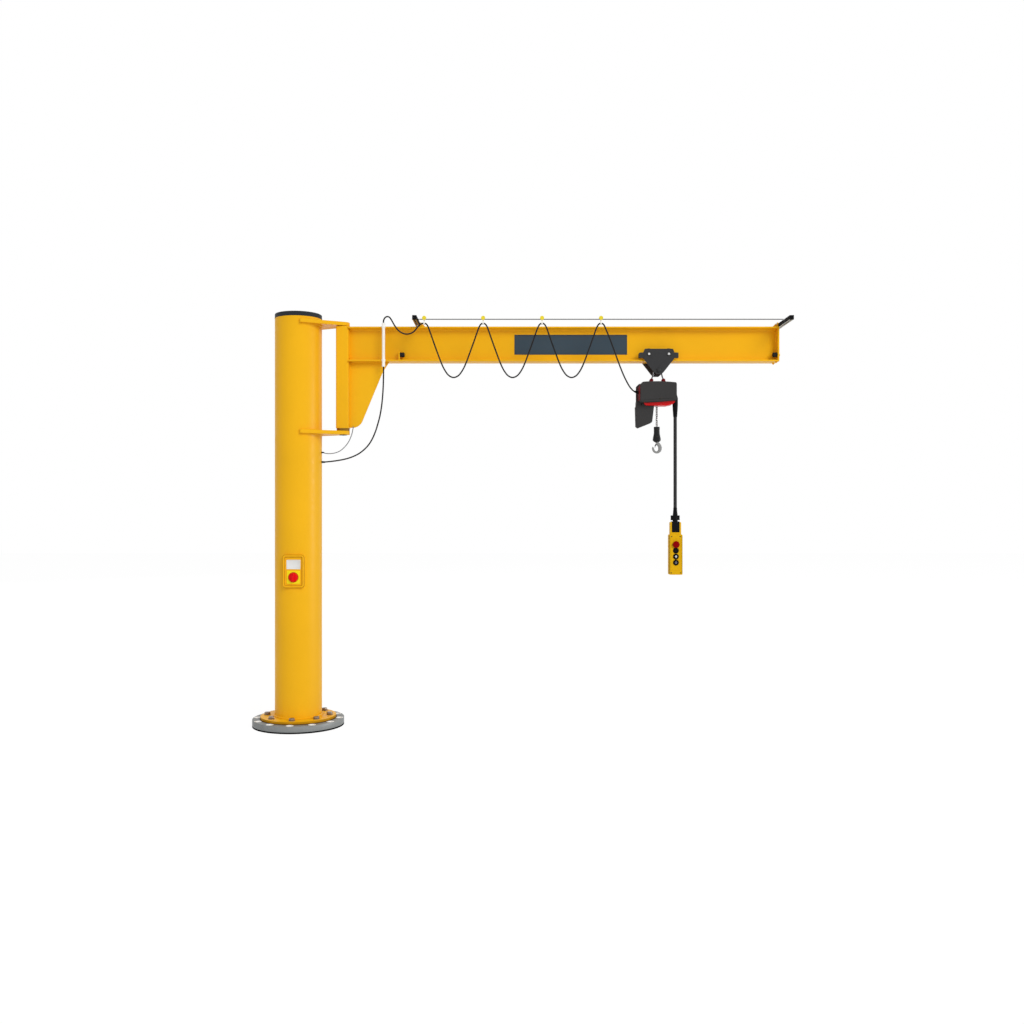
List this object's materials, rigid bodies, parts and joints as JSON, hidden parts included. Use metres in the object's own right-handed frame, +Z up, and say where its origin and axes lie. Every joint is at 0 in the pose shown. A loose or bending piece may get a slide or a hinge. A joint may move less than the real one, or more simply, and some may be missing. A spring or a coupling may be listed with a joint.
{
  "type": "jib crane",
  "caption": "Floor-mounted column jib crane: a slewing I-beam arm with a push trolley, electric chain hoist, pendant control and festoon cable.",
  "frame": {"origin": "the column's axis at the floor, on the underside of the levelling pad", "axes": "+Z up along the column, +X out along the jib at rest, -Y towards the side with the main switch, the festoon and the pendant's buttons"},
  "size_m": [3.7049, 0.638, 2.866],
  "materials": {
    "yellow_paint": "gloss",
    "anthracite_paint": "satin",
    "cap_plastic": "satin",
    "grey_paint": "satin",
    "bright_steel": "satin",
    "black_rubber": "matte",
    "cable_sheath": "matte",
    "earth_sheath": "matte",
    "white_plastic": "satin",
    "black_rail": "satin",
    "lemon_plastic": "satin",
    "red_plastic": "gloss",
    "black_plastic": "matte",
    "cover_plastic": "matte",
    "dark_paint": "satin",
    "red_paint": "gloss",
    "pendant_plastic": "satin",
    "hook_steel": "satin",
    "block_paint": "satin"
  },
  "bodies": {
    "column": {"floor_pad": "black_rubber", "anchor_plate": "grey_paint", "base_flange": "yellow_paint", "flange_bolts": "bright_steel", "column_tube": "yellow_paint", "column_cap": "cap_plastic", "upper_bracket": "yellow_paint", "lower_bracket": "yellow_paint", "lower_bearing": "dark_paint", "pivot_pins": "bright_steel", "switch_frame": "yellow_paint", "switch_plate": "lemon_plastic"},
    "switch_handle": {"switch_knob": "red_plastic"},
    "jib": {"jib_post": "yellow_paint", "jib_beam": "yellow_paint", "gusset_plate": "yellow_paint", "end_plate": "yellow_paint", "stop_plates": "yellow_paint", "buffers": "black_rubber", "conduit_tube": "white_plastic", "left_arm": "black_rail", "right_arm": "black_rail", "tension_wire": "bright_steel", "supply_cable": "cable_sheath", "earth_cable": "earth_sheath", "riser_cable": "cable_sheath"},
    "trolley": {"trolley_plates": "dark_paint", "trolley_axles": "bright_steel", "hoist_bail": "bright_steel", "hoist_body": "red_paint", "hoist_covers": "cover_plastic", "chain_container": "cover_plastic", "spare_chain": "bright_steel", "pendant_boot": "black_plastic", "pendant_cable": "cable_sheath", "pendant_gland": "black_plastic", "pendant_box": "pendant_plastic", "hoist_cable": "cable_sheath"},
    "left_wheel_pair": {"left_wheels": "black_plastic"},
    "right_wheel_pair": {"right_wheels": "black_plastic"},
    "glider_a": {"glider_1": "lemon_plastic", "festoon_loop_1": "cable_sheath"},
    "glider_b": {"glider_2": "lemon_plastic", "festoon_loop_2": "cable_sheath"},
    "glider_c": {"glider_3": "lemon_plastic", "festoon_loop_3": "cable_sheath"},
    "glider_d": {"glider_4": "lemon_plastic"},
    "bottom_block": {"load_chain": "bright_steel", "hook_block": "block_paint"},
    "hook": {"load_hook": "hook_steel"},
    "latch": {"hook_latch": "anthracite_paint"},
    "estop": {"estop_button": "red_plastic"},
    "stop_push": {"stop_button": "black_plastic"},
    "up_push": {"up_button": "white_plastic"},
    "down_push": {"down_button": "black_plastic"}
  },
  "joints": [
    {"name": "jib_slew", "type": "hinge", "parent": "column", "child": "jib", "pos_m": [0.3125, 0, 2.4], "axis": [0, 0, 1], "range_deg": [-125, 125], "deforming": ["supply_cable", "earth_cable"]},
    {"name": "switch_turn", "type": "hinge", "parent": "column", "child": "switch_handle", "pos_m": [0, -0.18, 1.041], "axis": [0, 1, 0], "range_deg": [0, 90]},
    {"name": "trolley_travel", "type": "slide", "parent": "jib", "child": "trolley", "axis": [1, 0, 0], "range_m": [-1.62, 0.655], "deforming": ["festoon_loop_1", "festoon_loop_2", "festoon_loop_3", "hoist_cable"]},
    {"name": "left_wheel_roll", "type": "hinge", "parent": "trolley", "child": "left_wheel_pair", "pos_m": [2.4425, 0, 2.5818], "axis": [0, 1, 0], "continuous": true},
    {"name": "right_wheel_roll", "type": "hinge", "parent": "trolley", "child": "right_wheel_pair", "pos_m": [2.5795, 0, 2.5818], "axis": [0, 1, 0], "continuous": true},
    {"name": "glider_d_glide", "type": "slide", "parent": "trolley", "child": "glider_d", "axis": [1, 0, 0], "range_m": [-0.25, 0.56]},
    {"name": "glider_c_glide", "type": "slide", "parent": "glider_d", "child": "glider_c", "axis": [1, 0, 0], "range_m": [-0.18, 0.38]},
    {"name": "glider_b_glide", "type": "slide", "parent": "glider_c", "child": "glider_b", "axis": [1, 0, 0], "range_m": [-0.18, 0.38]},
    {"name": "glider_a_glide", "type": "slide", "parent": "glider_b", "child": "glider_a", "axis": [1, 0, 0], "range_m": [-0.18, 0.38]},
    {"name": "hook_lift", "type": "slide", "parent": "trolley", "child": "bottom_block", "axis": [0, 0, -1], "range_m": [-0.13, 1.85], "deforming": ["spare_chain"]},
    {"name": "hook_swivel", "type": "hinge", "parent": "bottom_block", "child": "hook", "pos_m": [2.507, 0, 2], "axis": [0, 0, 1], "continuous": true},
    {"name": "latch_open", "type": "hinge", "parent": "hook", "child": "latch", "pos_m": [2.506, 0, 1.964], "axis": [0, -1, 0], "range_deg": [0, 40], "stiffness_Nm_per_rad": 0.02, "springref_deg": -28.65},
    {"name": "estop_push", "type": "slide", "parent": "trolley", "child": "estop", "axis": [0, 1, 0], "range_m": [0, 0.005]},
    {"name": "stop_button_push", "type": "slide", "parent": "trolley", "child": "stop_push", "axis": [0, 1, 0], "range_m": [0, 0.005], "stiffness_N_per_m": 600, "springref_m": -0.002},
    {"name": "up_button_push", "type": "slide", "parent": "trolley", "child": "up_push", "axis": [0, 1, 0], "range_m": [0, 0.005], "stiffness_N_per_m": 600, "springref_m": -0.002},
    {"name": "down_button_push", "type": "slide", "parent": "trolley", "child": "down_push", "axis": [0, 1, 0], "range_m": [0, 0.005], "stiffness_N_per_m": 600, "springref_m": -0.002}
  ],
  "couplings": [
    {"joint": "left_wheel_roll", "follows": "trolley_travel", "rad_per_m": 27.027},
    {"joint": "right_wheel_roll", "follows": "trolley_travel", "rad_per_m": 27.027},
    {"joint": "glider_d_glide", "follows": "trolley_travel", "ratio": -0.325},
    {"joint": "glider_c_glide", "follows": "trolley_travel", "ratio": -0.225},
    {"joint": "glider_b_glide", "follows": "trolley_travel", "ratio": -0.225},
    {"joint": "glider_a_glide", "follows": "trolley_travel", "ratio": -0.225}
  ]
}
